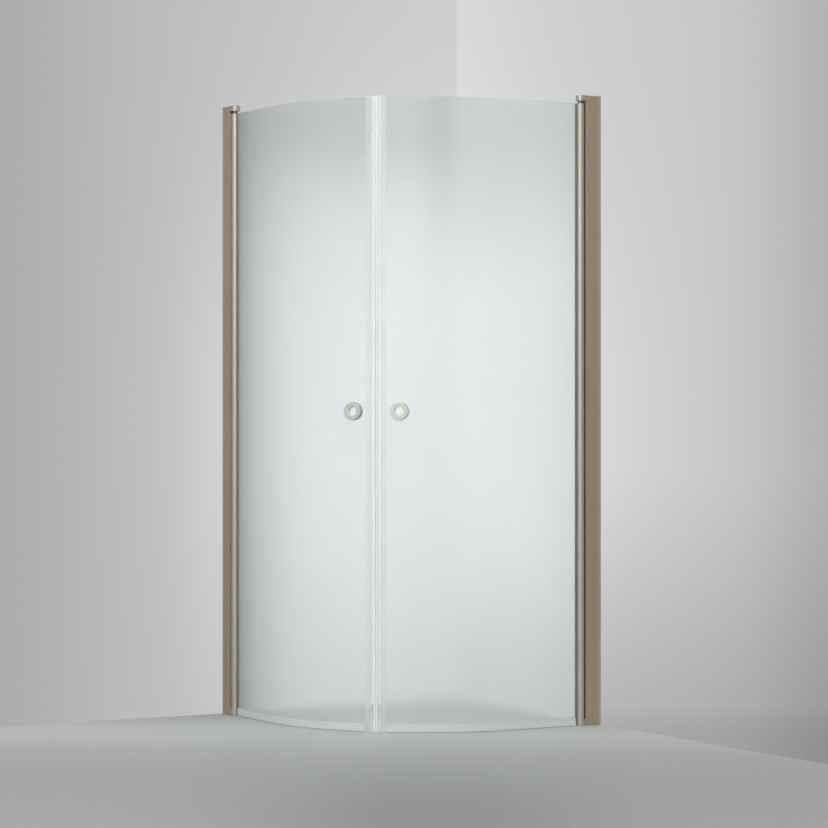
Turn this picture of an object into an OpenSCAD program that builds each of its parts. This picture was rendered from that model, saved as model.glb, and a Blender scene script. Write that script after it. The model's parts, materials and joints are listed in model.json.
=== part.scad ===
// Quadrant shower screen: two curved frosted doors on rise and fall hinges.
// Millimetres. Z is up. The two walls meet at the corner (half_w, half_w), and the
// screen bulges towards minus X and minus Y. The left door hangs on the wall that
// faces minus Y, the right door is its mirror image across the corner's diagonal.

/* [Enclosure] */
// Distance from a wall to the outer face of the profile on the other wall
screen_w = 900; // [800:10:1000]
// Height of the wall profiles with their caps
screen_h = 2000; // [1850:10:2100]
// Radius of the middle of the glass round the corner
bend_r = 558; // [470:1:600]
// Gap between the two magnet seals when both doors are shut
seam_gap = 0.3; // [0.2:0.1:2]

/* [Wall channel] */
// Thickness of the wall profile, seen edge on
profile_t = 24; // [22:1:30]
// Thickness of the channel's foot, the strip that shows beside the wall
foot_t = 22; // [20:0.5:24]
// Depth of the foot, from the wall to where the post begins
foot_depth = 10.7; // [6:0.1:16]
// Width of the joint between the foot and the post
foot_joint = 1; // [0.3:0.1:2]
// Depth of the whole channel, from the wall to its open edge
channel_depth = 44; // [36:1:48]
// Wall of the channel's legs
channel_wall = 1.8; // [1.5:0.1:2.4]
// Thickness of the channel's base against the wall
channel_base = 2.5; // [2:0.1:4]
// Radius of the wall screw holes
wall_hole_r = 2.75; // [2:0.05:3.5]
// Number of wall screw holes in each channel
wall_hole_count = 4; // [2:1:5]
// Distance from each end of the channel to its first screw hole
wall_hole_margin = 100; // [50:5:180]

/* [Hinge post] */
// Distance from the wall to the end of the post
post_end = 58; // [56:1:66]
// Wall of the post
post_wall = 2; // [1.6:0.1:2.6]
// Depth of the closed chamber at the end of the post
post_chamber = 8.5; // [8:0.5:12]
// Rounding of the post's long outer edges
post_edge_r = 0.8; // [0.4:0.1:1.5]
// Outer radius of the ports that the cap screws bite into
port_r = 3.4; // [3:0.1:3.8]
// How far a screw port sinks into the walls that carry it
port_bite = 0.8; // [0.5:0.1:1.2]
// Width of the slot that holds the post's weather strip
strip_slot_w = 1.6; // [1.2:0.1:2]
// Radius of the bead that keeps the weather strip in its slot
strip_bead_r = 1.7; // [1.4:0.1:2]

/* [Hinge cap and block] */
// Height of the bottom hinge block and of the profile's foot
block_h = 22; // [20:1:30]
// Height of the top hinge bracket and of the profile's cap
cap_h = 17; // [16:0.5:26]
// Thickness of the cap's plate over the top of the profile
cap_plate = 3; // [2:0.5:4]
// Thickness of the foot's plate under the post
foot_plate = 3; // [2:0.5:4]
// How far the cap and the foot reach past the post, over the hinge's brackets
cover_reach = 5.5; // [2:0.5:6]
// Joint between the hinge's two brackets and the cap and foot
bracket_joint = 0.4; // [0.2:0.1:1]
// Floor of the cam cavity in the bottom block
block_floor = 3; // [2:0.5:4]
// Radius of the screws through the cap and the foot
cap_screw_r = 1.6; // [1.4:0.1:1.8]
// Length of these screws with their heads
cap_screw_l = 30; // [26:1:40]
// Radius of these screws' heads
cap_head_r = 3.1; // [2.6:0.1:3.3]
// Height of these screws' heads
cap_head_h = 2; // [1.5:0.1:2.4]
// Width of the slots in the screws' heads
drive_w = 0.8; // [0.6:0.1:1.2]
// Depth of these slots
drive_depth = 0.8; // [0.5:0.1:1.2]

/* [Door stile] */
// Radius of the round stile
stile_r = 12; // [11.5:0.1:13]
// Gap between the end of the post and the stile
stile_gap = 1; // [0.8:0.1:2]
// Outer wall of the stile
stile_wall = 1.6; // [1.2:0.1:2]
// Radius of the bore along the stile's axis
core_r = 4.15; // [4.1:0.05:4.4]
// Wall round that bore
core_wall = 1.4; // [1:0.1:1.5]
// Room over the stile for the door to rise, under the top hinge bracket
lift_room = 9.2; // [6.5:0.1:12]

/* [Hinge] */
// Rise of the door for each quarter turn
lift_per_quarter = 5; // [3:0.25:5.5]
// Outer radius of the two cams
cam_r = 9.7; // [8.5:0.1:10]
// Arc of each of the two ramps on a cam, in degrees
ramp_arc = 176; // [170:1:177]
// Thickness of the lower cam under its ramps
cam_base = 3; // [2.5:0.5:3.5]
// Swing of a door that the hinge leaves room for, in degrees
swing_max = 95; // [80:1:95]
// Length of the plugs that reach into the ends of the stile
plug_l = 16; // [12:1:24]
// Radius of the spindle and of the top pivot pin
spindle_r = 3; // [2.6:0.1:3.1]
// Width across the flats that keep the spindle from turning
spindle_flats = 4.6; // [4.2:0.1:5]
// Height of the spindle's head
spindle_head_h = 3; // [2:0.5:4]
// Radial gap between that head and the bore along the stile
spindle_head_gap = 0.15; // [0.1:0.05:0.3]
// Depth of the top pivot pin in the top bracket, over the collar's recess
pin_seat = 7; // [5:0.5:8]
// Thickness of the top bush's flange
bush_flange = 0.8; // [0.6:0.1:1]
// Radius of the top bush's collar
collar_r = 8.5; // [7:0.1:9.5]
// How far the collar reaches into the top bracket when the door is shut
collar_reach = 0.7; // [0.3:0.1:1.5]
// Height left over the collar when the door is wide open
collar_spare = 0.7; // [0.3:0.1:1.5]
// Radius of the pegs that turn the cam and bush with the stile
peg_r = 1.5; // [1.2:0.1:1.8]
// Length of these pegs
peg_l = 8; // [5:1:12]

/* [Glass] */
// Thickness of the glass
glass_t = 6; // [5:0.5:8]
// How far the glass lies nearer the shower than the hinge axis
glass_inset = 5; // [0:0.5:6]
// Height of the glass's lower edge over the floor
glass_low = 12; // [11:0.5:16]
// Distance from the top of the screen down to the glass
glass_drop = 25.5; // [24:0.5:30]
// Distance from the stile's axis to the glass edge in the slot
glass_root = 6.4; // [6.4:0.1:8]
// Distance from the stile's axis to the notched corners of the glass
notch_x = 13.5; // [13.3:0.1:15]
// Gap from the glass edge in the slot to each end of the stile
glass_end_gap = 1; // [0.5:0.1:3]
// Distance from the seam to the free edge of the glass
glass_edge = 18; // [16:0.5:22]

/* [Seals] */
// Thickness of the dark gasket in the stile's slot
gasket_t = 1.2; // [1:0.1:1.5]
// Thickness of the gasket behind the glass edge
gasket_back = 0.6; // [0.4:0.1:0.7]
// How far the gasket's beads stand out past the stile
bead_out = 4; // [2:0.5:5]
// Thickness of the gasket's beads on each face of the glass
bead_t = 2.2; // [1.6:0.1:3]
// Wall of the clear clips that grip the glass
clip_wall = 1.2; // [0.8:0.1:1.6]
// Length of the magnet seal's clip over the glass
magnet_clip = 15; // [12:1:20]
// Wall round the magnet
pocket_wall = 0.85; // [0.7:0.05:1.2]
// Length of the magnet, along the glass
magnet_l = 4; // [3:0.5:9]
// Distance from the magnet to each end of its seal
magnet_inset = 1; // [0.5:0.5:10]
// Height of the magnet seal over the top edge of the glass
magnet_rise = 4; // [2:0.5:6]
// Gap between the magnet seals and the floor
magnet_low = 1; // [0.5:0.5:2]
// Height of the top edge of the bottom seal over the floor
seal_top = 26; // [22:1:34]
// Gap between the gasket's bead and the end of the bottom seal
seal_inset = 1; // [0.5:0.5:4]
// Gap between the bottom seal and the floor
seal_low = 1.5; // [1:0.5:3]
// Thickness of the fins of the bottom seal
fin_t = 1.1; // [0.8:0.1:1.5]
// How far the slanted fin reaches into the shower
fin_reach = 7; // [4:0.5:10]

/* [Handle] */
// Height of the middle of the handle over the floor
handle_z = 998; // [900:1:1100]
// Distance from the seam to the middle of the handle, along the glass
handle_arc = 75; // [66:1:120]
// Outer radius of the handle's rings
ring_r = 28; // [26:0.5:34]
// Radius of the finger hole
finger_r = 14.2; // [12:0.1:15]
// Height of each ring over its washer
ring_h = 8.5; // [6:0.5:12]
// Rounding of the rings' edges
ring_edge_r = 2.5; // [1:0.25:3]
// Wall of the sleeve that joins the two rings
sleeve_wall = 2.2; // [1.8:0.1:3]
// Radius of the hole in the glass
glass_hole_r = 18; // [17.8:0.1:20]
// Thickness of the washers at their middle
washer_t = 1.2; // [1:0.1:2]
// How far the washers' edge lies inside the rings' edge
washer_inset = 1; // [0:0.25:2]

/* [Adjusting screws] */
// Number of adjusting screws on each side
adjust_count = 3; // [2:1:4]
// Distance from each end of the screen to the first adjusting screw
adjust_margin = 150; // [100:10:400]
// Distance from the wall to the adjusting screws
adjust_x = 30; // [22:1:36]
// Radius of the adjusting screws
adjust_r = 1.9; // [1.5:0.1:2.4]
// Radius of the adjusting screws' heads
adjust_head_r = 3.6; // [3:0.1:4.2]
// Height of the adjusting screws' heads
adjust_head_h = 1.8; // [1.4:0.1:2.4]
// Wall of the covers over these heads
cover_wall = 0.9; // [0.7:0.1:1.4]

/* [Clearances] */
// Gap between pieces that move past each other
move_gap = 0.3; // [0.2:0.05:0.5]
// Gap between a plastic or metal piece and its seat
seat_gap = 0.05; // [0.02:0.01:0.1]
// Radial running fit of the spindle and the top pin
run_gap = 0.05; // [0.02:0.01:0.1]

/* [Hidden] */
$fn = 96;

// Finishes, as the photograph shows them
bronze = [0.58, 0.52, 0.43];
champagne = [0.83, 0.81, 0.72];
steel = [0.72, 0.72, 0.70];
dark_rubber = [0.16, 0.15, 0.12];
grey_plastic = [0.45, 0.44, 0.42];
black_plastic = [0.08, 0.08, 0.08];
clear_plastic = [0.88, 0.92, 0.92, 0.6];
white_magnet = [0.93, 0.94, 0.93];
frosted_glass = [0.78, 0.86, 0.85, 0.55];

half_w = screen_w / 2;
half_t = profile_t / 2;
overlap = 1;

// Plan of one side, seen from its hinge axis: plus X runs along the shut door away
// from the wall, plus Y points into the shower
axis_to_wall = post_end + stile_gap + stile_r;
axis_line = screen_w - half_t;
bend_x = axis_line - glass_inset - bend_r - axis_to_wall;
seam_angle = -45;
wall_x = -axis_to_wall;
foot_x = wall_x + foot_depth;
post_x0 = foot_x + foot_joint;
post_x1 = wall_x + post_end;
cover_x1 = post_x1 + cover_reach;
web_x0 = post_x1 - post_wall - post_chamber - post_wall;
port_x = post_x1 - post_wall - port_r + port_bite;
port_y = half_t - post_wall - port_r + port_bite;
room_y = half_t - post_wall;
// Sides of the drawn circles on the bend, whose radius is large
bend_fn = 360;

// Levels
cap_z = screen_h - cap_h;
stile_z0 = block_h + move_gap;
stile_z1 = cap_z - lift_room;
glass_z1 = screen_h - glass_drop;
slot_glass_z0 = stile_z0 + glass_end_gap;
slot_glass_z1 = stile_z1 - glass_end_gap;

// Channel and post
channel_leg_y = room_y - move_gap;
channel_top = screen_h - cap_plate - move_gap;
wall_hole_pitch = (screen_h - 2 * wall_hole_margin) / (wall_hole_count - 1);

// Cams
lift_per_degree = lift_per_quarter / 90;
ramp_rise = ramp_arc * lift_per_degree;
ramp_z0 = block_floor + cam_base;
cavity_r = cam_r + move_gap;
plug_r = core_r - seat_gap;
spindle_z0 = block_floor + move_gap;
spindle_head_z = stile_z0 + plug_l + seat_gap;
head_r = core_r - spindle_head_gap;
flats_z1 = block_h;
ramp_steps = 32;
collar_recess = collar_reach + lift_per_degree * swing_max + collar_spare;

// Stile and gasket
slot_half = glass_t / 2 + gasket_t + seat_gap;
slot_x = glass_root - gasket_back - 2 * seat_gap;
peg_x = -(core_r + core_wall + stile_r - stile_wall) / 2;
peg_y = core_wall / 2 + seat_gap + peg_r;

// Bottom seal
clip_half = glass_t / 2 + seat_gap + clip_wall;
clip_z0 = glass_low - seat_gap - clip_wall;
seal_x0 = stile_r + bead_out + seal_inset;
seal_s_end = glass_edge + magnet_clip + seam_gap;

// Handle
sleeve_r = finger_r + sleeve_wall;
ring_z = glass_t / 2 + washer_t;
handle_angle = seam_angle - handle_arc / bend_r * 180 / PI;

// Adjusting screws
adjust_pitch = (screen_h - 2 * adjust_margin) / (adjust_count - 1);
cover_r = adjust_head_r + cover_wall + seat_gap;
cover_h = adjust_head_h + cover_wall + seat_gap;

// Places of the two sides, of the bend's centre and of the handle

module left_side() {
    translate([half_w - axis_line, half_w - axis_to_wall, 0]) rotate(-90) children();
}

module right_side() {
    mirror([1, -1, 0]) left_side() children();
}

module at_bend() {
    translate([bend_x, glass_inset + bend_r, 0]) children();
}

module at_handle() {
    at_bend()
    rotate(handle_angle)
    translate([bend_r, 0, handle_z])
    rotate([0, 90, 0])
    children();
}

// Shared shapes

module bar(x0, x1, y0, y1, z0, z1) {
    translate([x0, y0, z0]) cube([x1 - x0, y1 - y0, z1 - z0]);
}

module rod(r, z0, z1, x = 0, y = 0) {
    translate([x, y, z0]) cylinder(r = r, h = z1 - z0);
}

// A rectangle whose four corners are arcs of radius r
module soft_rect(x0, x1, y0, y1, r) {
    translate([x0 + r, y0]) square([x1 - x0 - 2 * r, y1 - y0]);
    translate([x0, y0 + r]) square([x1 - x0, y1 - y0 - 2 * r]);
    for (x = [x0 + r, x1 - r], y = [y0 + r, y1 - r])
        translate([x, y]) circle(r = r);
}

// Outline of the stile, grown by grow: round about the hinge axis, and drawn out
// towards the glass on the shower side
module stile_outline(grow = 0) {
    r = stile_r + grow;
    circle(r = r);
    translate([0, glass_inset]) circle(r = r);
    translate([-r, 0]) square([2 * r, glass_inset]);
}

// Outline of the brackets over and under the stile, with a flat back at the cap and foot
module bracket_outline() {
    intersection() {
        translate([cover_x1 + bracket_joint, -2 * stile_r]) square(4 * stile_r);
        union() {
            stile_outline();
            translate([-stile_r, -stile_r]) square([stile_r, 2 * stile_r + glass_inset]);
        }
    }
}

// Angle of a place on the bend that lies s before the seam
function bend_angle(s) = seam_angle - s / bend_r * 180 / PI;

// A band of the bend from radius r0 to r1, from s0 to s1 before the seam
module bend_band(r0, r1, s0, s1) {
    reach = 1.2 * r1;
    a0 = bend_angle(s0);
    a1 = bend_angle(s1);
    am = (a0 + a1) / 2;
    intersection() {
        difference() {
            circle(r = r1, $fn = bend_fn);
            circle(r = r0, $fn = bend_fn);
        }
        polygon([
            [0, 0],
            [reach * cos(a1), reach * sin(a1)],
            [reach * cos(am), reach * sin(am)],
            [reach * cos(a0), reach * sin(a0)]
        ]);
    }
}

// Sweeps a section along the glass: straight from x0 to the bend, then round it to
// a place s_end before the seam. The section's X is the way into the shower.
module along_glass(x0, s_end) {
    translate([bend_x, glass_inset, 0])
    rotate([90, 0, -90])
    linear_extrude(height = bend_x - x0)
    mirror([1, 0])
    children();
    at_bend()
    rotate(-90)
    rotate_extrude(angle = bend_angle(s_end) + 90, $fn = bend_fn)
    translate([bend_r, 0])
    mirror([1, 0])
    children();
}

// One ramp of a cam between radius r0 and r1, as a solid from the level low(a) to
// the level high(a), where the helix climbs clockwise
module ramp(r0, r1, low, low_rise, high, high_rise) {
    function corner(i, r, z, rise) = [
        r * cos(-ramp_arc * i / ramp_steps),
        r * sin(-ramp_arc * i / ramp_steps),
        z + rise * i / ramp_steps
    ];
    points = [
        for (i = [0 : ramp_steps]) each [
            corner(i, r0, low, low_rise),
            corner(i, r1, low, low_rise),
            corner(i, r1, high, high_rise),
            corner(i, r0, high, high_rise)
        ]
    ];
    sides = [
        for (i = [0 : ramp_steps - 1], k = [0 : 3])
            let (a = 4 * i + k, b = 4 * i + (k + 1) % 4)
                each [[a, b + 4, b], [a, a + 4, b + 4]]
    ];
    last = 4 * ramp_steps;
    ends = [[0, 1, 2], [0, 2, 3], [last, last + 2, last + 1], [last, last + 3, last + 2]];
    polyhedron(points = points, faces = concat(sides, ends), convexity = 6);
}

// Wall channel and hinge post

module channel_section() {
    difference() {
        union() {
            soft_rect(wall_x, foot_x, -foot_t / 2, foot_t / 2, post_edge_r);
            translate([wall_x + post_edge_r, -channel_leg_y])
                square([channel_depth - post_edge_r, 2 * channel_leg_y]);
        }
        translate([wall_x + channel_base, -channel_leg_y + channel_wall])
            square([channel_depth, 2 * (channel_leg_y - channel_wall)]);
    }
}

module adjust_places() {
    for (i = [0 : adjust_count - 1])
        translate([wall_x + adjust_x, 0, adjust_margin + i * adjust_pitch])
        rotate([-90, 0, 0])
        children();
}

module wall_channel() {
    difference() {
        linear_extrude(height = channel_top) channel_section();
        for (i = [0 : wall_hole_count - 1])
            translate([wall_x - overlap, 0, wall_hole_margin + i * wall_hole_pitch])
            rotate([0, 90, 0])
            cylinder(r = wall_hole_r, h = channel_base + 2 * overlap);
        adjust_places() rod(adjust_r + seat_gap, 0, half_t);
    }
}

module port_places() {
    for (side = [-1, 1]) translate([port_x, side * port_y, 0]) children();
}

module post_section() {
    chamber_x0 = web_x0 + post_wall;
    chamber_x1 = post_x1 - post_wall;
    difference() {
        soft_rect(post_x0, post_x1, -half_t, half_t, post_edge_r);
        translate([post_x0 - overlap, -room_y]) square([web_x0 - post_x0 + overlap, 2 * room_y]);
        difference() {
            translate([chamber_x0, -room_y]) square([chamber_x1 - chamber_x0, 2 * room_y]);
            port_places() circle(r = port_r);
        }
        port_places() circle(r = cap_screw_r + seat_gap);
        translate([chamber_x1 - overlap, -strip_slot_w / 2])
            square([post_wall + 2 * overlap, strip_slot_w]);
    }
}

module hinge_post() {
    difference() {
        translate([0, 0, block_h])
            linear_extrude(height = cap_z - block_h)
            post_section();
        adjust_places() rod(adjust_r + seat_gap, 0, half_t + overlap);
    }
}

// Soft strip in the slot at the post's end, brushing towards the stile
module weather_strip() {
    bead_x = post_x1 - post_wall - strip_bead_r - seat_gap;
    translate([0, 0, block_h + move_gap])
    linear_extrude(height = cap_z - block_h - 2 * move_gap) {
        translate([bead_x, 0]) circle(r = strip_bead_r);
        translate([bead_x, -strip_slot_w / 2 + seat_gap])
            square([-stile_r - move_gap - bead_x, strip_slot_w - 2 * seat_gap]);
    }
}

module adjusting_screws() {
    adjust_places() {
        rod(adjust_r, channel_leg_y - 2 * channel_wall, half_t);
        difference() {
            rod(adjust_head_r, half_t, half_t + adjust_head_h);
            bar(-adjust_head_r, adjust_head_r, -drive_w / 2, drive_w / 2,
                half_t + adjust_head_h - drive_depth, half_t + adjust_head_h + overlap);
        }
    }
}

module screw_covers() {
    adjust_places()
    translate([0, 0, half_t])
    rotate_extrude()
    difference() {
        union() {
            square([cover_r - cover_wall, cover_h]);
            square([cover_r, cover_h - cover_wall]);
            intersection() {
                translate([cover_r - cover_wall, cover_h - cover_wall])
                    circle(r = cover_wall);
                square([cover_r, cover_h]);
            }
        }
        square([adjust_head_r + seat_gap, adjust_head_h + seat_gap]);
    }
}

// Cap and foot of the profile, the hinge's two brackets and what holds them

module profile_room(x1, z0, z1) {
    bar(post_x0 - overlap, x1, -room_y, room_y, z0, z1);
}

module profile_cap() {
    plate_z = screen_h - cap_plate;
    difference() {
        union() {
            bar(post_x0, cover_x1, -half_t, half_t, cap_z, screen_h);
            bar(wall_x + move_gap, post_x0 + overlap, -half_t, half_t, plate_z, screen_h);
        }
        profile_room(cover_x1 + overlap, cap_z - overlap, plate_z);
        port_places() {
            rod(cap_screw_r + seat_gap, plate_z - overlap, screen_h + overlap);
            rod(cap_head_r + seat_gap, screen_h - cap_head_h, screen_h + overlap);
        }
    }
}

module profile_foot() {
    plate_z = block_h - foot_plate;
    difference() {
        bar(post_x0, cover_x1, -half_t, half_t, 0, block_h);
        profile_room(web_x0, -overlap, block_h + overlap);
        profile_room(cover_x1 + overlap, -overlap, plate_z);
        rod(cavity_r, plate_z - overlap, block_h + overlap);
        port_places() {
            rod(cap_screw_r + seat_gap, plate_z - overlap, block_h + overlap);
            rod(cap_head_r + seat_gap, -overlap, cap_head_h);
        }
    }
}

// A bracket's outline from z0 to z1, with an arm into the profile's cap or foot that
// the screws pass through
module bracket_body(z0, z1, arm_z0, arm_z1) {
    arm_y = room_y - seat_gap;
    difference() {
        union() {
            translate([0, 0, z0]) linear_extrude(height = z1 - z0) bracket_outline();
            bar(web_x0 + seat_gap, cover_x1 + bracket_joint + overlap, -arm_y, arm_y, arm_z0, arm_z1);
        }
        port_places() rod(cap_screw_r + seat_gap, arm_z0 - overlap, arm_z1 + overlap);
    }
}

module top_hinge_bracket() {
    recess_z = cap_z + collar_recess;
    difference() {
        bracket_body(cap_z, screen_h, cap_z, screen_h - cap_plate - seat_gap);
        rod(collar_r + move_gap, cap_z - overlap, recess_z);
        rod(spindle_r + seat_gap, recess_z - overlap, recess_z + pin_seat);
    }
}

module bottom_hinge_block() {
    difference() {
        bracket_body(0, block_h, 0, block_h - foot_plate - seat_gap);
        rod(cavity_r, block_floor, block_h + overlap);
        port_places() rod(cap_head_r + seat_gap, -overlap, cap_head_h);
    }
}

module cap_screw() {
    rod(cap_screw_r, -cap_screw_l, 0);
    difference() {
        rod(cap_head_r, -cap_head_h, 0);
        bar(-cap_head_r, cap_head_r, -drive_w / 2, drive_w / 2, -drive_depth, overlap);
    }
}

module cap_screws() {
    port_places() {
        translate([0, 0, screen_h]) cap_screw();
        mirror([0, 0, 1]) cap_screw();
    }
}

module top_pivot_pin() {
    rod(spindle_r, stile_z1 - plug_l, cap_z + collar_recess + pin_seat);
}

// Rise and fall hinge

// Two ramps half a turn apart, cut to the true ring of the cam
module cam_ring(r0, r1, z0, z1, low, low_rise, high, high_rise) {
    intersection() {
        difference() {
            rod(r1, z0, z1);
            rod(r0, z0 - overlap, z1 + overlap);
        }
        for (half = [0, 180])
            rotate(half) ramp(r0 - overlap, r1 + overlap, low, low_rise, high, high_rise);
    }
}

module spindle_flat_hole(z0, z1) {
    intersection() {
        rod(spindle_r + run_gap, z0, z1);
        bar(-spindle_r - overlap, spindle_r + overlap,
            -spindle_flats / 2 - run_gap, spindle_flats / 2 + run_gap, z0, z1);
    }
}

module lower_cam() {
    base_r = cavity_r - seat_gap;
    difference() {
        rod(base_r, block_floor, ramp_z0);
        spindle_flat_hole(block_floor - overlap, ramp_z0 + overlap);
    }
    cam_ring(spindle_r + move_gap, cam_r, ramp_z0, ramp_z0 + ramp_rise,
        ramp_z0 - overlap, 0, ramp_z0, ramp_rise);
}

// Two pegs that hold the web behind the stile's bore between them
module stile_pegs(z0, z1) {
    for (side = [-1, 1]) rod(peg_r, z0, z1, peg_x, side * peg_y);
}

module cam_follower() {
    ramp_top = ramp_z0 + ramp_rise + move_gap;
    cam_ring(spindle_r + run_gap, cam_r, ramp_z0, stile_z0,
        ramp_z0 + move_gap, ramp_rise, ramp_top + overlap, 0);
    difference() {
        union() {
            rod(cam_r, ramp_top, stile_z0);
            rod(plug_r, stile_z0, stile_z0 + plug_l);
            stile_pegs(stile_z0, stile_z0 + peg_l);
        }
        rod(spindle_r + run_gap, ramp_z0, stile_z0 + plug_l + overlap);
    }
}

module hinge_spindle() {
    difference() {
        rod(spindle_r, spindle_z0, spindle_head_z);
        for (side = [-1, 1])
            translate([0, side * (spindle_flats / 2 + spindle_r), 0])
            bar(-2 * spindle_r, 2 * spindle_r, -spindle_r, spindle_r, spindle_z0 - overlap, flats_z1);
    }
    rod(head_r, spindle_head_z, spindle_head_z + spindle_head_h);
}

module top_bush() {
    collar_z1 = cap_z + collar_reach;
    difference() {
        union() {
            rod(stile_r - stile_wall, stile_z1, stile_z1 + bush_flange);
            rod(collar_r, stile_z1, collar_z1);
            rod(plug_r, stile_z1 - plug_l, stile_z1);
            stile_pegs(stile_z1 - peg_l, stile_z1);
        }
        rod(spindle_r + run_gap, stile_z1 - plug_l - overlap, collar_z1 + overlap);
    }
}

// Door

module slot_outline(grow = 0) {
    half = slot_half + grow;
    translate([slot_x - grow, glass_inset - half]) square([2 * stile_r, 2 * half]);
}

module stile_section() {
    difference() {
        stile_outline();
        circle(r = core_r);
        slot_outline();
        difference() {
            stile_outline(-stile_wall);
            circle(r = core_r + core_wall);
            translate([-2 * stile_r, -core_wall / 2]) square([2 * stile_r, core_wall]);
            slot_outline(core_wall);
        }
    }
}

module door_stile() {
    translate([0, 0, stile_z0])
        linear_extrude(height = stile_z1 - stile_z0)
        stile_section();
}

// The gasket's beads on both faces of the glass, at a gap from the stile's outline
module bead_section(gap) {
    bead_half = glass_t / 2 + bead_t;
    glass_half = glass_t / 2 + seat_gap;
    difference() {
        translate([0, glass_inset])
            soft_rect(stile_r / 2, stile_r + bead_out, -bead_half, bead_half, bead_t / 2);
        translate([0, glass_inset - glass_half]) square([2 * stile_r, 2 * glass_half]);
        stile_outline(gap);
    }
}

module gasket_section() {
    glass_half = glass_t / 2 + seat_gap;
    leg_out = slot_half - seat_gap;
    leg_x0 = slot_x + seat_gap;
    difference() {
        translate([leg_x0, glass_inset - leg_out]) square([stile_r + overlap - leg_x0, 2 * leg_out]);
        translate([glass_root - seat_gap, glass_inset - glass_half])
            square([2 * stile_r, 2 * glass_half]);
    }
    bead_section(seat_gap);
}

// Under the stile, the beads run on down the glass's notched edge
module glazing_gasket() {
    translate([0, 0, stile_z0])
        linear_extrude(height = stile_z1 - stile_z0)
        gasket_section();
    translate([0, 0, glass_low])
        linear_extrude(height = stile_z0 - glass_low)
        bead_section(move_gap);
}

// The glass reaches into the stile's slot between its notched corners
module glass_door() {
    difference() {
        union() {
            along_glass(notch_x, glass_edge)
                translate([-glass_t / 2, glass_low]) square([glass_t, glass_z1 - glass_low]);
            translate([0, glass_inset, 0])
                bar(glass_root, notch_x + overlap, -glass_t / 2, glass_t / 2, slot_glass_z0, slot_glass_z1);
        }
        at_handle() rod(glass_hole_r, -glass_t, glass_t);
    }
}

// Seals

module magnet_seal_plan() {
    clip_in = bend_r - glass_t / 2 - seat_gap;
    clip_out = bend_r + glass_t / 2 + seat_gap;
    half_gap = seam_gap / 2;
    pocket_end = half_gap + 2 * pocket_wall + magnet_l + 2 * seat_gap;
    difference() {
        bend_band(clip_in - clip_wall, clip_out + clip_wall, half_gap, glass_edge + magnet_clip);
        bend_band(clip_in, clip_out, half_gap + pocket_wall, pocket_end - pocket_wall);
        bend_band(clip_in, clip_out, pocket_end, glass_edge - clip_wall - seat_gap);
        bend_band(clip_in, clip_out, glass_edge - seat_gap, glass_edge + magnet_clip + overlap);
    }
}

module magnet_seal() {
    at_bend()
    translate([0, 0, magnet_low])
    linear_extrude(height = glass_z1 + magnet_rise - magnet_low)
    magnet_seal_plan();
}

module magnet_strip() {
    s0 = seam_gap / 2 + pocket_wall + seat_gap;
    at_bend()
    translate([0, 0, magnet_low + magnet_inset])
    linear_extrude(height = glass_z1 + magnet_rise - magnet_low - 2 * magnet_inset)
    bend_band(bend_r - glass_t / 2, bend_r + glass_t / 2, s0, s0 + magnet_l);
}

module bottom_clip_section() {
    difference() {
        translate([-clip_half, clip_z0]) square([2 * clip_half, seal_top - clip_z0]);
        translate([-clip_half + clip_wall, clip_z0 + clip_wall])
            square([2 * (clip_half - clip_wall), seal_top]);
    }
}

module bottom_seal_clip() {
    along_glass(seal_x0, seal_s_end) bottom_clip_section();
}

// A straight fin down to the floor, and a slanted one that throws drips inwards
module bottom_fin_section() {
    polygon([
        [-clip_half, clip_z0],
        [-clip_half, seal_low],
        [-clip_half + fin_t, seal_low],
        [-clip_half + fin_t, clip_z0 - fin_t],
        [clip_half - fin_t, clip_z0 - fin_t],
        [clip_half - fin_t + fin_reach, seal_low + fin_t],
        [clip_half + fin_reach, seal_low + fin_t],
        [clip_half, clip_z0]
    ]);
}

module bottom_seal_fins() {
    along_glass(seal_x0, seal_s_end) bottom_fin_section();
}

// Handle: two rings, one on each face of the glass, joined by a sleeve

module ring_section(r0, z0) {
    soft_rect(r0, ring_r, z0, z0 + ring_h, ring_edge_r);
    translate([r0, z0]) square([ring_edge_r, ring_h - ring_edge_r]);
    translate([ring_r - ring_edge_r, z0]) square([ring_edge_r, ring_h - ring_edge_r]);
}

module handle_outer_ring() {
    at_handle() rotate_extrude() {
        ring_section(finger_r, ring_z);
        translate([finger_r, -ring_z - ring_h]) square([sleeve_wall, 2 * ring_z + ring_h + overlap]);
    }
}

module handle_inner_ring() {
    at_handle() mirror([0, 0, 1]) rotate_extrude() ring_section(sleeve_r + seat_gap, ring_z);
}

module handle_washers() {
    washer_r0 = sleeve_r + seat_gap;
    washer_r1 = ring_r - washer_inset;
    difference() {
        at_handle() difference() {
            rod(washer_r1, -ring_z + seat_gap, ring_z - seat_gap);
            rod(washer_r0, -ring_z - overlap, ring_z + overlap);
        }
        at_bend() translate([0, 0, handle_z - 2 * ring_r]) difference() {
            cylinder(r = bend_r + glass_t / 2 + seat_gap, h = 4 * ring_r, $fn = bend_fn);
            cylinder(r = bend_r - glass_t / 2 - seat_gap, h = 4 * ring_r, $fn = bend_fn);
        }
    }
}

// Left side

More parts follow.
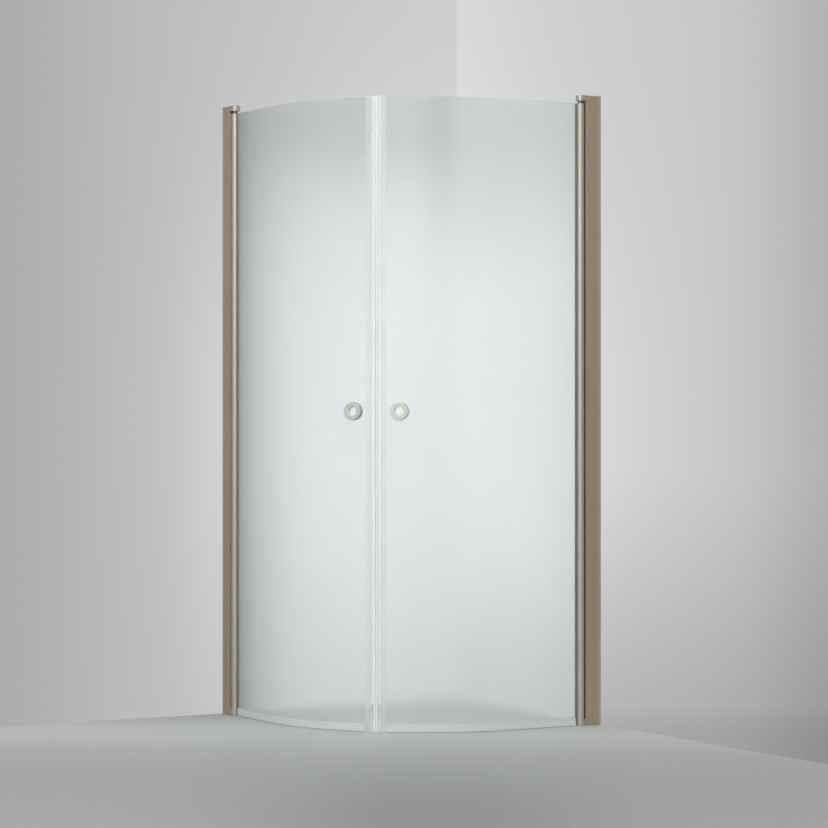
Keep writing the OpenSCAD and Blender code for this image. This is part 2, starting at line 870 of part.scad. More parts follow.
module wall_channel_left() { color(champagne) left_side() wall_channel(); }
module hinge_post_left() { color(bronze) left_side() hinge_post(); }
module profile_cap_left() { color(bronze) left_side() profile_cap(); }
module profile_foot_left() { color(bronze) left_side() profile_foot(); }
module top_hinge_bracket_left() { color(champagne) left_side() top_hinge_bracket(); }
module bottom_hinge_block_left() { color(champagne) left_side() bottom_hinge_block(); }
module cap_screws_left() { color(steel) left_side() cap_screws(); }
module adjusting_screws_left() { color(steel) left_side() adjusting_screws(); }
module screw_covers_left() { color(bronze) left_side() screw_covers(); }
module weather_strip_left() { color(dark_rubber) left_side() weather_strip(); }
module top_pivot_pin_left() { color(steel) left_side() top_pivot_pin(); }
module lower_cam_left() { color(grey_plastic) left_side() lower_cam(); }
module hinge_spindle_left() { color(steel) left_side() hinge_spindle(); }
module cam_follower_left() { color(grey_plastic) left_side() cam_follower(); }
module top_bush_left() { color(black_plastic) left_side() top_bush(); }
module door_stile_left() { color(champagne) left_side() door_stile(); }
module glazing_gasket_left() { color(dark_rubber) left_side() glazing_gasket(); }
module glass_door_left() { color(frosted_glass) left_side() glass_door(); }
module magnet_seal_left() { color(clear_plastic) left_side() magnet_seal(); }
module magnet_strip_left() { color(white_magnet) left_side() magnet_strip(); }
module bottom_seal_clip_left() { color(clear_plastic) left_side() bottom_seal_clip(); }
module bottom_seal_fins_left() { color(clear_plastic) left_side() bottom_seal_fins(); }
module handle_outer_ring_left() { color(champagne) left_side() handle_outer_ring(); }
module handle_inner_ring_left() { color(champagne) left_side() handle_inner_ring(); }
module handle_washers_left() { color(clear_plastic) left_side() handle_washers(); }

// Right side

module wall_channel_right() { color(champagne) right_side() wall_channel(); }
module hinge_post_right() { color(bronze) right_side() hinge_post(); }
module profile_cap_right() { color(bronze) right_side() profile_cap(); }
module profile_foot_right() { color(bronze) right_side() profile_foot(); }
module top_hinge_bracket_right() { color(champagne) right_side() top_hinge_bracket(); }
module bottom_hinge_block_right() { color(champagne) right_side() bottom_hinge_block(); }
module cap_screws_right() { color(steel) right_side() cap_screws(); }
module adjusting_screws_right() { color(steel) right_side() adjusting_screws(); }
module screw_covers_right() { color(bronze) right_side() screw_covers(); }
module weather_strip_right() { color(dark_rubber) right_side() weather_strip(); }
module top_pivot_pin_right() { color(steel) right_side() top_pivot_pin(); }
module lower_cam_right() { color(grey_plastic) right_side() lower_cam(); }
module hinge_spindle_right() { color(steel) right_side() hinge_spindle(); }
module cam_follower_right() { color(grey_plastic) right_side() cam_follower(); }
module top_bush_right() { color(black_plastic) right_side() top_bush(); }
module door_stile_right() { color(champagne) right_side() door_stile(); }
module glazing_gasket_right() { color(dark_rubber) right_side() glazing_gasket(); }
module glass_door_right() { color(frosted_glass) right_side() glass_door(); }
module magnet_seal_right() { color(clear_plastic) right_side() magnet_seal(); }
module magnet_strip_right() { color(white_magnet) right_side() magnet_strip(); }
module bottom_seal_clip_right() { color(clear_plastic) right_side() bottom_seal_clip(); }
module bottom_seal_fins_right() { color(clear_plastic) right_side() bottom_seal_fins(); }
module handle_outer_ring_right() { color(champagne) right_side() handle_outer_ring(); }
module handle_inner_ring_right() { color(champagne) right_side() handle_inner_ring(); }
module handle_washers_right() { color(clear_plastic) right_side() handle_washers(); }

wall_channel_left();
hinge_post_left();
profile_cap_left();
profile_foot_left();
top_hinge_bracket_left();
bottom_hinge_block_left();
cap_screws_left();
adjusting_screws_left();
screw_covers_left();
weather_strip_left();
top_pivot_pin_left();
lower_cam_left();
hinge_spindle_left();
cam_follower_left();
top_bush_left();
door_stile_left();
glazing_gasket_left();
glass_door_left();
magnet_seal_left();
magnet_strip_left();
bottom_seal_clip_left();
bottom_seal_fins_left();
handle_outer_ring_left();
handle_inner_ring_left();
handle_washers_left();
wall_channel_right();
hinge_post_right();
profile_cap_right();
profile_foot_right();
top_hinge_bracket_right();
bottom_hinge_block_right();
cap_screws_right();
adjusting_screws_right();
screw_covers_right();
weather_strip_right();
top_pivot_pin_right();
lower_cam_right();
hinge_spindle_right();
cam_follower_right();
top_bush_right();
door_stile_right();
glazing_gasket_right();
glass_door_right();
magnet_seal_right();
magnet_strip_right();
bottom_seal_clip_right();
bottom_seal_fins_right();
handle_outer_ring_right();
handle_inner_ring_right();
handle_washers_right();
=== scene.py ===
# Quadrant shower screen: its finishes, glass and light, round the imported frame. Metres, Z up.
import json
import math

import bmesh
import bpy
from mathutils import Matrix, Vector


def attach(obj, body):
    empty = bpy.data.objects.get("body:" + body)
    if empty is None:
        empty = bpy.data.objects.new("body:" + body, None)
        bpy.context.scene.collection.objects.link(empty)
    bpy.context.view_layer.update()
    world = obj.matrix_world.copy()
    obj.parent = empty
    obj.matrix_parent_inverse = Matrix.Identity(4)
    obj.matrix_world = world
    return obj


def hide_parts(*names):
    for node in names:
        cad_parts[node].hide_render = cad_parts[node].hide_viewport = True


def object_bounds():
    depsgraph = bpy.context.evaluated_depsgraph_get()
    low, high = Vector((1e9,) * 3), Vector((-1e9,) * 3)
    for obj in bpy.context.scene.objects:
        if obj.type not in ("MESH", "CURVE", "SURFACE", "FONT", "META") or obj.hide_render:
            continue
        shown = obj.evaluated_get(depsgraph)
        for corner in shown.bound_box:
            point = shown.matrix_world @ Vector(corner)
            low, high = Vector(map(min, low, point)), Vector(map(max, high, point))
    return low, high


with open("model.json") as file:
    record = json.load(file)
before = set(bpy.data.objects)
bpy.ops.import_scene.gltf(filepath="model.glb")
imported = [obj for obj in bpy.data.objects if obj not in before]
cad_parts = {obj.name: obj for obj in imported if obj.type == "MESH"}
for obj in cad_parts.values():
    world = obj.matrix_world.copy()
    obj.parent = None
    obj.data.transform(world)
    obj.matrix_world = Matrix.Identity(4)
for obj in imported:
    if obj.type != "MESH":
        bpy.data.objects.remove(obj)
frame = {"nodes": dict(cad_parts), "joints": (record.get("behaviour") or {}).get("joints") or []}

cadBox = [list(corner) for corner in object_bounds()]
scene = bpy.context.scene
nodes = frame["nodes"]
sides = ("left", "right")
hinge = next(j["pos_m"] for j in frame["joints"] if j["name"] == "left_swing")
print("frame loaded:", len(nodes), "nodes")

# Camera
cameraSetup = dict(
    place=(-4.4913, -7.8597, 0.9892),
    turn=-29.864,       # degrees about Z, level
    focalPixels=2792.2,
    framePixels=828,
    sensor=36.0,
    clipEnd=60,
)


def makeCamera(c):
    data = bpy.data.cameras.new("camera")
    data.sensor_width = c["sensor"]
    data.lens = c["focalPixels"] / c["framePixels"] * c["sensor"]
    data.clip_end = c["clipEnd"]
    cam = bpy.data.objects.new("camera", data)
    cam.location = c["place"]
    cam.rotation_euler = (math.radians(90), 0, math.radians(c["turn"]))
    scene.collection.objects.link(cam)
    scene.camera = cam


makeCamera(cameraSetup)

# Small helpers for node trees
noiseSpan = (0.3, 0.7)      # where most of the noise lies


def feed(tree, socket, value):
    # gives a socket another node's output, or a plain value
    if isinstance(value, bpy.types.NodeSocket):
        tree.links.new(value, socket)
    elif socket.type == "RGBA":
        socket.default_value = (*value, 1.0)
    else:
        socket.default_value = value


def addNode(tree, kind, inputs=None, **settings):
    node = tree.nodes.new(f"ShaderNode{kind}")
    for key, value in settings.items():
        setattr(node, key, value)
    for key, value in (inputs or {}).items():
        feed(tree, node.inputs[key], value)
    return node


def objectPlace(tree):
    return addNode(tree, "TexCoord").outputs["Object"]


def emptyMaterial(name):
    mat = bpy.data.materials.new(name)
    mat.use_nodes = True
    mat.node_tree.nodes.clear()
    return mat, mat.node_tree


def newFinish(name):
    mat, tree = emptyMaterial(name)
    shader = addNode(tree, "BsdfPrincipled")
    addNode(tree, "OutputMaterial", {"Surface": shader.outputs[0]})
    return mat, tree, shader


def noiseOn(tree, stretch, detail):
    # noise in the object's own coordinates, with its own scale along each axis, in cells per metre
    mapping = addNode(tree, "Mapping", {"Vector": objectPlace(tree), "Scale": stretch})
    noise = addNode(tree, "TexNoise", {
        "Vector": mapping.outputs["Vector"], "Scale": 1.0, "Detail": detail, "Roughness": 0.5})
    return noise.outputs["Fac"]


def spread(tree, value, low, high):
    # turns noise into values that run from low to high
    node = addNode(tree, "MapRange", {
        "Value": value, "From Min": noiseSpan[0], "From Max": noiseSpan[1], "To Min": low, "To Max": high})
    return node.outputs["Result"]


def mixColours(tree, factor, one, other):
    return addNode(tree, "Mix", {"Factor": factor, "A": one, "B": other}, data_type="RGBA").outputs["Result"]


def mixNumbers(tree, factor, one, other):
    return addNode(tree, "Mix", {0: factor, 2: one, 3: other}).outputs[0]


def arith(tree, how, one, other=0.0):
    return addNode(tree, "Math", {0: one, 1: other}, operation=how).outputs[0]


def dotWith(tree, vector, direction):
    return addNode(tree, "VectorMath", {0: vector, 1: direction}, operation="DOT_PRODUCT").outputs["Value"]


def bell(tree, places):
    # a soft round spot, 1 at its middle; places holds each value with its middle and its span
    total = 0.0
    for value, middle, span in places:
        off = arith(tree, "DIVIDE", arith(tree, "SUBTRACT", value, middle), span)
        total = arith(tree, "ADD", arith(tree, "MULTIPLY", off, off), total)
    return arith(tree, "EXPONENT", arith(tree, "MULTIPLY", total, -1.0))


def curveOf(tree, value, points):
    # a smooth ramp through or near the points, given as (in, out)
    low, high = points[0][0], points[-1][0]
    scaled = addNode(tree, "MapRange", {"Value": value, "From Min": low, "From Max": high})
    ramp = addNode(tree, "ValToRGB", {"Fac": scaled.outputs["Result"]})
    ramp.color_ramp.interpolation = "B_SPLINE"
    stops = ramp.color_ramp.elements
    while len(stops) < len(points):
        stops.new(0.5)
    for stop, (place, tone) in zip(stops, points):
        stop.position = (place - low) / (high - low)
        stop.color = (tone, tone, tone, 1.0)
    return ramp.outputs["Color"]


# Finishes: every one has a colour, a roughness and a bump that follow noise at its own scale
lineDepth = 0.0002      # of drawn lines
grainDepth = 0.0001     # of moulded and etched skins
cloudStretch = (5.0, 5.0, 2.0)
frostStretch = (3.0, 3.0, 1.6)
mottleSize = 12         # of the colour's mottle, in grains


def shades(tree, noise, f):
    return mixColours(tree, spread(tree, noise, 0.0, 1.0), f["dark"], f["light"])


def cover(tree, shader, colour, skin, f, depth):
    feed(tree, shader.inputs["Base Color"], colour)
    feed(tree, shader.inputs["Roughness"], spread(tree, skin, *f["roughness"]))
    bump = addNode(tree, "Bump", {"Strength": f["bump"], "Distance": depth, "Height": skin})
    feed(tree, shader.inputs["Normal"], bump.outputs["Normal"])


def anodised(name, f):
    # drawn aluminium: fine lines along the extrusion, a faint cloud in the dye and a satin grain
    mat, tree, shader = newFinish(name)
    lines = noiseOn(tree, f["lineStretch"], detail=3.0)
    cloud = noiseOn(tree, cloudStretch, detail=2.0)
    colour = mixColours(tree, spread(tree, cloud, 0.0, f["cloud"]), shades(tree, lines, f), f["dark"])
    cover(tree, shader, colour, lines, f, lineDepth)
    shader.inputs["Metallic"].default_value = f["metallic"]
    return mat


def plastic(name, f):
    # moulded plastic or rubber: a small mottle in the colour and a fine pebbled skin
    mat, tree, shader = newFinish(name)
    mottle = noiseOn(tree, (f["grain"] / mottleSize,) * 3, detail=3.0)
    skin = noiseOn(tree, (f["grain"],) * 3, detail=2.0)
    cover(tree, shader, shades(tree, mottle, f), skin, f, grainDepth)
    shader.inputs["Specular IOR Level"].default_value = f.get("gloss", 0.5)
    return mat


def clearPlastic(name, f):
    # drawn clear seal: faint flow lines along it, and a milky body
    mat, tree, shader = newFinish(name)
    flow = noiseOn(tree, f["flowStretch"], detail=3.0)
    cover(tree, shader, shades(tree, flow, f), flow, f, lineDepth)
    shader.inputs["IOR"].default_value = f["ior"]
    shader.inputs["Alpha"].default_value = f["alpha"]
    return mat


def satinGlass(name, f):
    # etched glass: a grain far finer than a millimetre, and a frost that is a little denser in places
    mat, tree, shader = newFinish(name)
    grain = noiseOn(tree, (f["grain"],) * 3, detail=2.0)
    frost = noiseOn(tree, frostStretch, detail=2.0)
    cover(tree, shader, shades(tree, frost, f), grain, f, grainDepth)
    shader.inputs["Transmission Weight"].default_value = f["clear"]
    shader.inputs["IOR"].default_value = f["ior"]
    return mat


bronze = anodised("bronzeAnodised", dict(
    dark=(0.435, 0.36, 0.26), light=(0.505, 0.425, 0.31), cloud=0.35, metallic=0.9,
    roughness=(0.40, 0.50), bump=0.10, lineStretch=(1400.0, 1400.0, 4.0)))
# painted highlight: the same bronze anodising made lighter, standing in for the highlight on the round
# stiles and bosses
bronzePaintedHighlight = anodised("bronzeAnodisedPaintedHighlight", dict(
    dark=(0.47, 0.435, 0.355), light=(0.54, 0.505, 0.415), cloud=0.3, metallic=0.92,
    roughness=(0.50, 0.60), bump=0.08, lineStretch=(1400.0, 1400.0, 4.0)))
steel = anodised("screwSteel", dict(
    dark=(0.50, 0.50, 0.49), light=(0.62, 0.62, 0.61), cloud=0.3, metallic=1.0,
    roughness=(0.22, 0.34), bump=0.08, lineStretch=(1500.0, 1500.0, 300.0)))
rubber = plastic("darkRubber", dict(
    dark=(0.14, 0.14, 0.11), light=(0.19, 0.19, 0.15), roughness=(0.5, 0.65), grain=1800.0, bump=0.2))
nylon = plastic("greyNylon", dict(
    dark=(0.045, 0.045, 0.042), light=(0.065, 0.065, 0.06), roughness=(0.4, 0.55), grain=1500.0, bump=0.15))
blackGloss = plastic("glossBlack", dict(
    dark=(0.008, 0.008, 0.008), light=(0.014, 0.014, 0.013), roughness=(0.12, 0.18), grain=900.0, bump=0.02,
    gloss=1.0))
coverPlastic = plastic("bronzeCover", dict(
    dark=(0.26, 0.21, 0.14), light=(0.31, 0.25, 0.17), roughness=(0.42, 0.55), grain=1500.0, bump=0.15))
magnetWhite = plastic("magnetWhite", dict(
    dark=(0.95, 0.96, 0.955), light=(0.98, 0.985, 0.98), roughness=(0.5, 0.6), grain=1200.0, bump=0.1))
clearSeal = clearPlastic("clearSeal", dict(
    dark=(0.84, 0.865, 0.86), light=(0.90, 0.92, 0.915), roughness=(0.25, 0.35), ior=1.45, alpha=0.12,
    flowStretch=(500.0, 500.0, 6.0), bump=0.1))
clearBottomSeal = clearPlastic("clearBottomSeal", dict(
    dark=(0.66, 0.69, 0.69), light=(0.74, 0.77, 0.77), roughness=(0.25, 0.35), ior=1.45, alpha=0.85,
    flowStretch=(6.0, 6.0, 900.0), bump=0.1))
frosted = satinGlass("frostedGlass", dict(
    dark=(0.865, 0.92, 0.915), light=(0.89, 0.94, 0.935), roughness=(0.22, 0.30), clear=0.85, ior=1.2,
    grain=2600.0, bump=0.03))
glassEdge = satinGlass("glassEdge", dict(
    dark=(0.78, 0.90, 0.87), light=(0.84, 0.94, 0.91), roughness=(0.10, 0.18), clear=0.85, ior=1.15,
    grain=900.0, bump=0.04))
print("finishes made")

# the stiles, hinge brackets, hinge blocks and wall channels get the lighter bronze, a painted highlight
finishOf = dict(
    wall_channel=bronzePaintedHighlight, hinge_post=bronze, profile_cap=bronze, profile_foot=bronze,
    top_hinge_bracket=bronzePaintedHighlight, bottom_hinge_block=bronzePaintedHighlight,
    cap_screws=steel, adjusting_screws=steel, screw_covers=coverPlastic, weather_strip=rubber,
    top_pivot_pin=steel, lower_cam=nylon, hinge_spindle=steel, cam_follower=nylon, top_bush=blackGloss,
    door_stile=bronzePaintedHighlight, glazing_gasket=rubber, glass_door=frosted, magnet_seal=clearSeal,
    magnet_strip=magnetWhite, bottom_seal_clip=clearBottomSeal, bottom_seal_fins=clearBottomSeal,
    handle_washers=clearSeal,
)


def putFinish(base, side, finish):
    part = nodes[f"{base}_{side}"]
    part.data.materials.clear()
    part.data.materials.append(finish)


for side in sides:
    for base, finish in finishOf.items():
        putFinish(base, side, finish)

# Glass panes with ground edges, finer than the frame's own
pane = dict(
    thickness=0.006,
    inset=0.005,        # from the hinge axis to the glass's middle, into the shower
    bendRadius=0.558,
    bendSteps=60,
    root=0.0064,        # from the hinge axis to the edge in the stile's slot
    rootOverlap=0.001,
    notch=0.0135,       # from the hinge axis to the notched corners
    slotLow=0.0233,
    slotHigh=1.9728,
    low=0.012,
    high=1.9745,
    seamGap=0.018,      # from the seam to the free edge
    holeRadius=0.018,
    holeArc=0.075,      # from the seam to the hole, along the glass
    holeHigh=0.998,
    holeSteps=64,
    holeAhead=0.02,     # to a point in front of the hole
    holeCut=0.03,       # length of the cutter through the glass
    arris=0.0007,
    arrisSegments=2,
    arrisFrom=40,       # degrees between the faces that get an arris
    sharpFrom=12,       # degrees between faces, so the broad ones stay optically flat
    broadFrom=0.95,     # how squarely a frosted face looks away from the glass
)
glassLine = hinge[0] + pane["inset"]
bendCentre = glassLine + pane["bendRadius"]
bendStart = hinge[1] - bendCentre
seam = bendStart + pane["bendRadius"] * math.pi / 4     # where the doors meet, along the glass


def onGlass(s, inward, z, side):
    # the place s along the shut glass from the hinge axis, and inward from its middle, into the shower
    radius = pane["bendRadius"]
    if s <= bendStart:
        x, y = s, inward
    else:
        angle = (s - bendStart) / radius
        x = bendStart + (radius - inward) * math.sin(angle)
        y = radius - (radius - inward) * math.cos(angle)
    place = (glassLine + y, hinge[1] - x)
    return Vector((*place, z)) if side == "left" else Vector((place[1], place[0], z))


def addPiece(name, bm, finishes=()):
    bmesh.ops.recalc_face_normals(bm, faces=bm.faces)
    mesh = bpy.data.meshes.new(name)
    bm.to_mesh(mesh)
    bm.free()
    piece = bpy.data.objects.new(name, mesh)
    for finish in finishes:
        mesh.materials.append(finish)
    scene.collection.objects.link(piece)
    return piece


def applyModifiers(piece):
    bpy.context.view_layer.update()
    graph = bpy.context.evaluated_depsgraph_get()
    made = bpy.data.meshes.new_from_object(piece.evaluated_get(graph))
    piece.modifiers.clear()
    piece.data = made


def slab(columns, low, high, side):
    # a closed slab that follows the glass through the given columns
    half = pane["thickness"] / 2
    bm = bmesh.new()
    rings = [
        [bm.verts.new(onGlass(s, inward, z, side)) for inward, z in
         ((-half, low), (half, low), (half, high), (-half, high))]
        for s in columns
    ]
    for one, other in zip(rings, rings[1:]):
        for i in range(4):
            bm.faces.new((one[i], one[(i + 1) % 4], other[(i + 1) % 4], other[i]))
    bm.faces.new(rings[0])
    bm.faces.new(rings[-1][::-1])
    return bm


def holeOf(side):
    # the middle of the finger hole, and the way out of it
    along = seam - pane["holeArc"]
    middle = onGlass(along, 0, pane["holeHigh"], side)
    outside = onGlass(along, -pane["holeAhead"], pane["holeHigh"], side)
    return middle, (outside - middle).normalized()


def holeCutter(p, side):
    bm = bmesh.new()
    middle, out = holeOf(side)
    bmesh.ops.create_cone(bm, cap_ends=True, segments=p["holeSteps"], radius1=p["holeRadius"],
                          radius2=p["holeRadius"], depth=p["holeCut"])
    bmesh.ops.rotate(bm, verts=bm.verts, matrix=out.to_track_quat("Z", "Y").to_matrix())
    bmesh.ops.translate(bm, verts=bm.verts, vec=middle)
    return addPiece("cutter", bm)


def makePane(p, side):
    reach = seam - p["seamGap"] - bendStart
    columns = [p["notch"]] + [bendStart + reach * i / p["bendSteps"] for i in range(p["bendSteps"] + 1)]
    glass = addPiece(f"glassPane_{side}", slab(columns, p["low"], p["high"], side), [frosted, glassEdge])
    slot = [p["root"], p["notch"] + p["rootOverlap"]]
    tongue = addPiece("tongue", slab(slot, p["slotLow"], p["slotHigh"], side))
    cutter = holeCutter(p, side)
    for tool, how in ((tongue, "UNION"), (cutter, "DIFFERENCE")):
        boolean = glass.modifiers.new(how, "BOOLEAN")
        boolean.object = tool
        boolean.operation = how
        boolean.solver = "EXACT"
    applyModifiers(glass)
    for tool in (tongue, cutter):
        bpy.data.objects.remove(tool)
    bevel = glass.modifiers.new("arris", "BEVEL")
    bevel.width = p["arris"]
    bevel.segments = p["arrisSegments"]
    bevel.angle_limit = math.radians(p["arrisFrom"])
    applyModifiers(glass)
    mesh = glass.data
    mesh.shade_smooth()
    mesh.set_sharp_from_angle(angle=math.radians(p["sharpFrom"]))
    for face in mesh.polygons:
        face.material_index = 0 if isFrostedFace(face.center, face.normal, side) else 1
    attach(glass, f"{side}_door")
    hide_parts(f"glass_door_{side}")


def isFrostedFace(place, normal, side):
    # a broad face looks along the bend's radius, or straight across the glass before the bend
    x, y = (place.x, place.y) if side == "left" else (place.y, place.x)
    nx, ny = (normal.x, normal.y) if side == "left" else (normal.y, normal.x)
    if y > bendCentre:
        square = abs(nx)
    else:
        arm = Vector((x - bendCentre, y - bendCentre)).normalized()
        square = abs(arm.x * nx + arm.y * ny)
    return square > pane["broadFrom"]


for side in sides:
    makePane(pane, side)
print("glass panes made")

# Ring handles: satin faces round a bore painted lighter, painted light that lifts the shade inside the hole
ring = dict(
    face=dict(dark=(0.53, 0.545, 0.47), light=(0.59, 0.605, 0.53), cloud=0.2, metallic=0.15,
              roughness=(0.34, 0.44), bump=0.06, lineStretch=(900.0, 900.0, 900.0)),
    bore=(0.90, 0.90, 0.87),
    boreRadius=0.0144,
    boreFade=0.0006,
)


def ringFinish(side):
    mat = anodised(f"handleMetal_{side}", ring["face"])
    tree = mat.node_tree
    colour = tree.nodes["Principled BSDF"].inputs["Base Color"]
    middle, out = holeOf(side)
    offset = addNode(tree, "VectorMath", {0: objectPlace(tree), 1: middle}, operation="SUBTRACT")
    crossed = addNode(tree, "VectorMath", {0: offset.outputs["Vector"], 1: out}, operation="CROSS_PRODUCT")
    away = addNode(tree, "VectorMath", {0: crossed.outputs["Vector"]}, operation="LENGTH").outputs["Value"]
    onFace = addNode(tree, "MapRange", {
        "Value": away, "From Min": ring["boreRadius"], "From Max": ring["boreRadius"] + ring["boreFade"]})
    # the bore's lighter colour is painted light over the shade inside the hole
    feed(tree, colour, mixColours(tree, onFace.outputs["Result"], ring["bore"], colour.links[0].from_socket))
    return mat


for side in sides:
    finish = ringFinish(side)
    for base in ("handle_outer_ring", "handle_inner_ring"):
        putFinish(base, side, finish)
print("ring handles finished")

# Floor, the two walls of the corner and light
turn = math.radians(cameraSetup["turn"])
view = Vector((-math.sin(turn), math.cos(turn), 0))
across = Vector((view.y, -view.x, 0))

floor = dict(
    span=9.0,
    hue=(0.97, 0.99, 1.0),
    # painted light and shade by the way along the view: lighter next to the screen, darker inside it and
    # further in front
    deep=((-5.0, 0.52), (-3.8, 0.44), (-3.0, 0.35), (-2.4, 0.35), (-1.5, 0.39), (-0.9, 0.45), (-0.55, 0.56),
          (-0.2, 0.60), (0.1, 0.46), (0.6, 0.42), (1.6, 0.52)),
    shadow=dict(middle=(-2.3, 0.06), span=(1.0, 0.42), depth=0.28),     # along and across the view
    roughness=0.6,
    gloss=0.05,
)


def sceneFace(name, corners, finish, front):
    bm = bmesh.new()
    bm.faces.new([bm.verts.new(c) for c in corners])
    face = addPiece(name, bm, [finish])
    if face.data.polygons[0].normal.dot(Vector(front)) < 0:
        face.data.flip_normals()
    return face


def makeFloor(f):
    far = f["span"]
    mat, tree, shader = newFinish("floor")
    coords = objectPlace(tree)
    deep, wide = dotWith(tree, coords, view), dotWith(tree, coords, across)
    dark = f["shadow"]
    shade = bell(tree, list(zip((deep, wide), dark["middle"], dark["span"])))
    keep = arith(tree, "SUBTRACT", 1.0, arith(tree, "MULTIPLY", shade, dark["depth"]))
    # the floor's tone is painted light and shade: the curve along the view, and a painted shadow in front of
    # the screen
    tone = arith(tree, "MULTIPLY", curveOf(tree, deep, f["deep"]), keep)
    feed(tree, shader.inputs["Base Color"], mixColours(tree, tone, (0.0, 0.0, 0.0), f["hue"]))
    shader.inputs["Roughness"].default_value = f["roughness"]
    shader.inputs["Specular IOR Level"].default_value = f["gloss"]
    sceneFace("floor", [(-far, -far, 0), (far, -far, 0), (far, far, 0), (-far, far, 0)], mat, (0, 0, 1))


# painted light and shade of the walls past the screen, by the direction from the photograph's camera: darker
# towards the outer ends and the bottom, lighter towards the corner, with painted glows of light
backdrop = dict(
    elsewhere=0.58,
    corner=0.0151,      # where the room's corner stands, from the middle of the view
    reach=0.148,        # half of the photographed view, for a depth of 1
    fade=(1.03, 3.0),   # where the even tone begins and where it is alone, in reaches
    leastDepth=0.05,
    left=((-0.148, 0.40), (-0.11, 0.485), (-0.07, 0.525), (-0.03, 0.57), (0.0151, 0.605)),
    leftUp=((-0.105, 1.10), (-0.05, 1.05), (0.06, 1.02), (0.13, 1.0)),
    right=((0.0151, 0.73), (0.05, 0.65), (0.085, 0.635), (0.12, 0.60), (0.148, 0.45)),
    low=((-0.118, 0.57), (-0.105, 0.66), (-0.02, 1.0)),
    # strength, middle and span of each soft glow
    glows=((0.27, (0.0, 0.0), (0.062, 0.085)), (0.04, (-0.072, -0.03), (0.012, 0.10))),
)


def backdropTone(tree, sight, b, wall=None):
    # one wall's painted light and shade round the photograph's direction, or both walls', and an even tone
    # elsewhere
    depth = arith(tree, "MAXIMUM", dotWith(tree, sight, view), b["leastDepth"])
    u = arith(tree, "DIVIDE", dotWith(tree, sight, across), depth)
    v = arith(tree, "DIVIDE", dotWith(tree, sight, (0, 0, 1)), depth)
    right = arith(tree, "MULTIPLY", curveOf(tree, u, b["right"]), curveOf(tree, v, b["low"]))
    left = arith(tree, "MULTIPLY", curveOf(tree, u, b["left"]), curveOf(tree, v, b["leftUp"]))
    if wall:
        tones = left if wall == "left" else right
    else:
        tones = mixNumbers(tree, arith(tree, "GREATER_THAN", u, b["corner"]), left, right)
    for strength, middle, span in b["glows"]:
        spot = bell(tree, list(zip((u, v), middle, span)))
        tones = arith(tree, "ADD", tones, arith(tree, "MULTIPLY", spot, strength))
    off = arith(tree, "MAXIMUM", arith(tree, "ABSOLUTE", u), arith(tree, "ABSOLUTE", v))
    near, far = (b["reach"] * part for part in b["fade"])
    outside = addNode(tree, "MapRange", {"Value": off, "From Min": near, "From Max": far},
                      interpolation_type="SMOOTHSTEP")
    return mixNumbers(tree, outside.outputs["Result"], tones, b["elsewhere"])


def makeWorld(b):
    world = bpy.data.worlds.new("studio")
    world.use_nodes = True
    tree = world.node_tree
    sight = addNode(tree, "TexCoord").outputs["Generated"]
    feed(tree, tree.nodes["Background"].inputs["Color"], backdropTone(tree, sight, b))
    scene.world = world


# painted light and shade of each wall, as the light through the glass sees it: its strength, and its painted
# fall of light from the corner and upwards, darker away from the corner and near the top
walls = dict(
    backWall=dict(
        axis=0,
        shown="left",
        strength=0.88,
        along=((0.0, 1.0), (0.25, 0.99), (0.4, 1.02), (0.6, 0.97), (0.72, 0.84), (0.78, 0.66), (0.83, 0.30),
               (0.9, 0.05)),
        up=((0.0, 0.76), (0.25, 0.85), (0.55, 0.98), (0.85, 1.0), (1.3, 1.0), (1.55, 0.93), (1.75, 0.78),
            (1.92, 0.53), (2.8, 0.44))),
    sideWall=dict(
        axis=1,
        shown="right",
        strength=0.92,
        along=((0.0, 1.0), (0.45, 1.0), (0.66, 0.95), (0.9, 0.70)),
        up=((0.0, 0.67), (0.25, 0.77), (0.55, 0.97), (0.85, 1.0), (1.3, 1.0), (1.55, 0.95), (1.92, 0.66),
            (2.8, 0.56))),
)
wallSizes = dict(shownSpan=9.0, litHeight=2.8, gap=0.001)


def glowFinish(name, oneSided):
    # a surface that only shows a tone, glowing as painted light though it is no lamp, and where it is
    # one-sided isn't there from outside the room
    mat, tree = emptyMaterial(name)
    glow = addNode(tree, "Emission")
    surface = glow
    if oneSided:
        outside = addNode(tree, "NewGeometry").outputs["Backfacing"]
        through = addNode(tree, "BsdfTransparent")
        surface = addNode(tree, "MixShader", {0: outside, 1: glow.outputs[0], 2: through.outputs[0]})
    addNode(tree, "OutputMaterial", {"Surface": surface.outputs[0]})
    return mat, tree, glow.inputs["Strength"]


def wallCorners(axis, at, near, end, high):
    flat = [(near, at, 0), (end, at, 0), (end, at, high), (near, at, high)]
    return [(x, y, z) if axis == 0 else (y, x, z) for x, y, z in flat]


def hideFrom(piece, *rays):
    for ray in rays:
        setattr(piece, f"visible_{ray}", False)


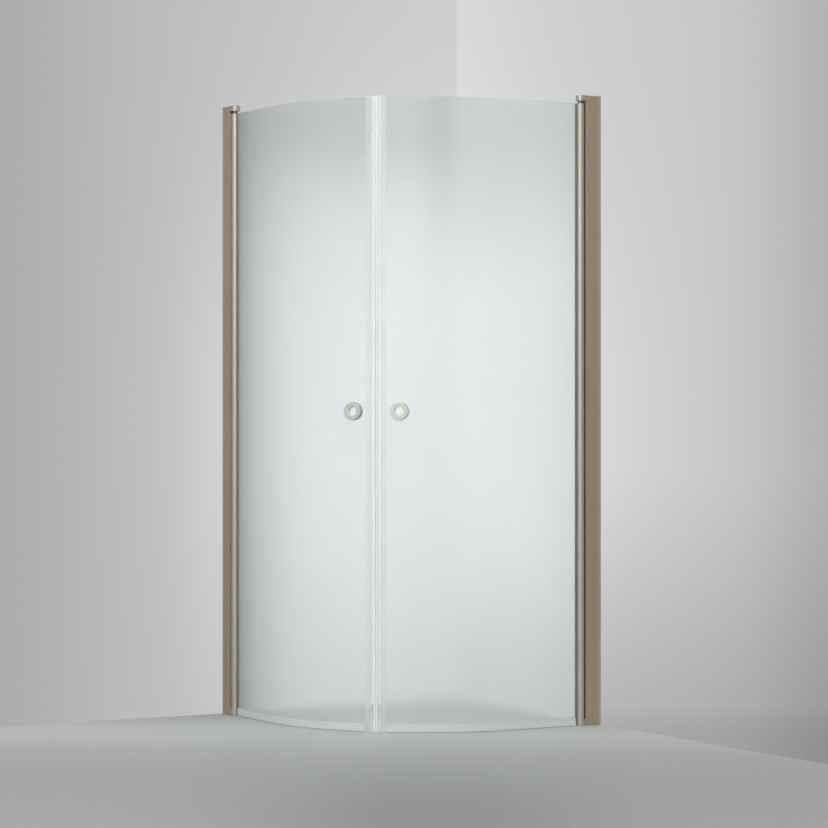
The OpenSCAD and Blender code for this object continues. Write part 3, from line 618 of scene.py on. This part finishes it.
def makeWalls(s):
    # each wall stands twice: for the camera past the screen, and for the light through the glass alone
    far = cadBox[1][0] + s["gap"]
    for name, w in walls.items():
        axis = w["axis"]
        front = (0, -1, 0) if axis == 0 else (-1, 0, 0)

        mat, tree, strength = glowFinish(f"{name}Lit", oneSided=False)
        split = addNode(tree, "SeparateXYZ", {"Vector": objectPlace(tree)})
        away = arith(tree, "SUBTRACT", far, split.outputs[axis])
        sideways, upwards = curveOf(tree, away, w["along"]), curveOf(tree, split.outputs[2], w["up"])
        fall = arith(tree, "MULTIPLY", sideways, upwards)
        feed(tree, strength, arith(tree, "MULTIPLY", fall, w["strength"]))
        corners = wallCorners(axis, far, cadBox[0][0], far, s["litHeight"])
        lit = sceneFace(f"{name}Lit", corners, mat, front)
        hideFrom(lit, "camera", "diffuse", "glossy", "shadow")

        mat, tree, strength = glowFinish(name, oneSided=True)
        sight = addNode(tree, "VectorMath", {0: objectPlace(tree), 1: cameraSetup["place"]},
                        operation="SUBTRACT").outputs["Vector"]
        feed(tree, strength, backdropTone(tree, sight, backdrop, w["shown"]))
        span = s["shownSpan"]
        shown = sceneFace(name, wallCorners(axis, far, -span, span, span), mat, front)
        hideFrom(shown, "transmission", "diffuse", "glossy", "shadow")


lamps = dict(
    front=dict(place=(-4.0, -4.5, 3.2), aim=(0, 0, 1.0), size=(3.0, 3.0), power=200, shine=True),
    # for the floor behind the glass alone
    inside=dict(place=(0.2, 0.2, 2.6), aim=(-0.1, -0.1, 0.8), size=(0.5, 0.5), power=20, shine=False),
)


def makeLamp(name, lamp):
    data = bpy.data.lights.new(name, "AREA")
    data.shape = "RECTANGLE"
    data.size, data.size_y = lamp["size"]
    data.energy = lamp["power"]
    light = bpy.data.objects.new(name, data)
    light.location = lamp["place"]
    light.visible_glossy = lamp["shine"]
    light.rotation_euler = (Vector(lamp["aim"]) - light.location).to_track_quat("-Z", "Y").to_euler()
    scene.collection.objects.link(light)


makeFloor(floor)
makeWalls(wallSizes)
makeWorld(backdrop)
for name, lamp in lamps.items():
    makeLamp(name, lamp)
scene.view_settings.view_transform = "Standard"
print("floor, walls and light made")
